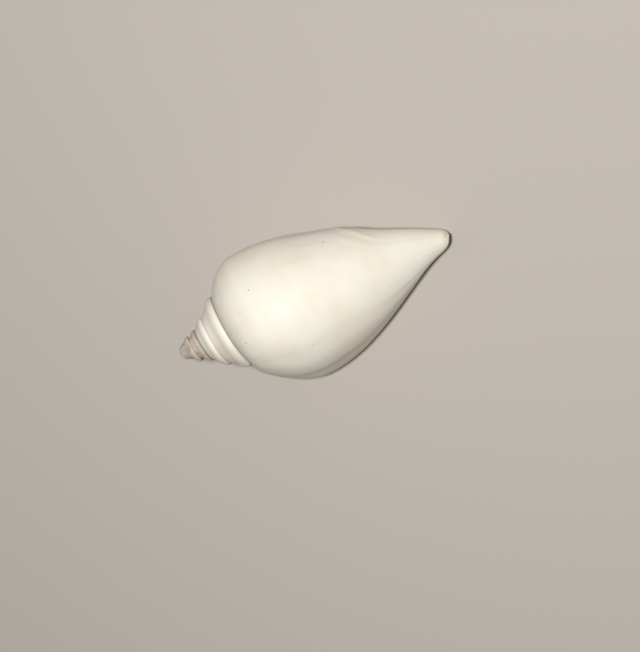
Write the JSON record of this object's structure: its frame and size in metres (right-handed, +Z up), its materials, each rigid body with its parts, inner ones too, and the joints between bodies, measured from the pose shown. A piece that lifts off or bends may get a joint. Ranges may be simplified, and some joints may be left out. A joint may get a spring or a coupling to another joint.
{
  "type": "conch shell",
  "caption": "Pear-shaped bleached white conch shell, 65 mm long, with a stepped spire, a flared lip and a straight open canal, lying on its mouth.",
  "frame": {"origin": "centre of the bounding box's bottom, on the ground that the shell lies on", "axes": "+X from the spire towards the canal, -Y towards the flared lip, +Z up"},
  "size_m": [0.0634, 0.0342, 0.0288],
  "materials": {
    "shell": "satin"
  },
  "bodies": {
    "root": {"conch_shell": "shell"}
  },
  "joints": []
}
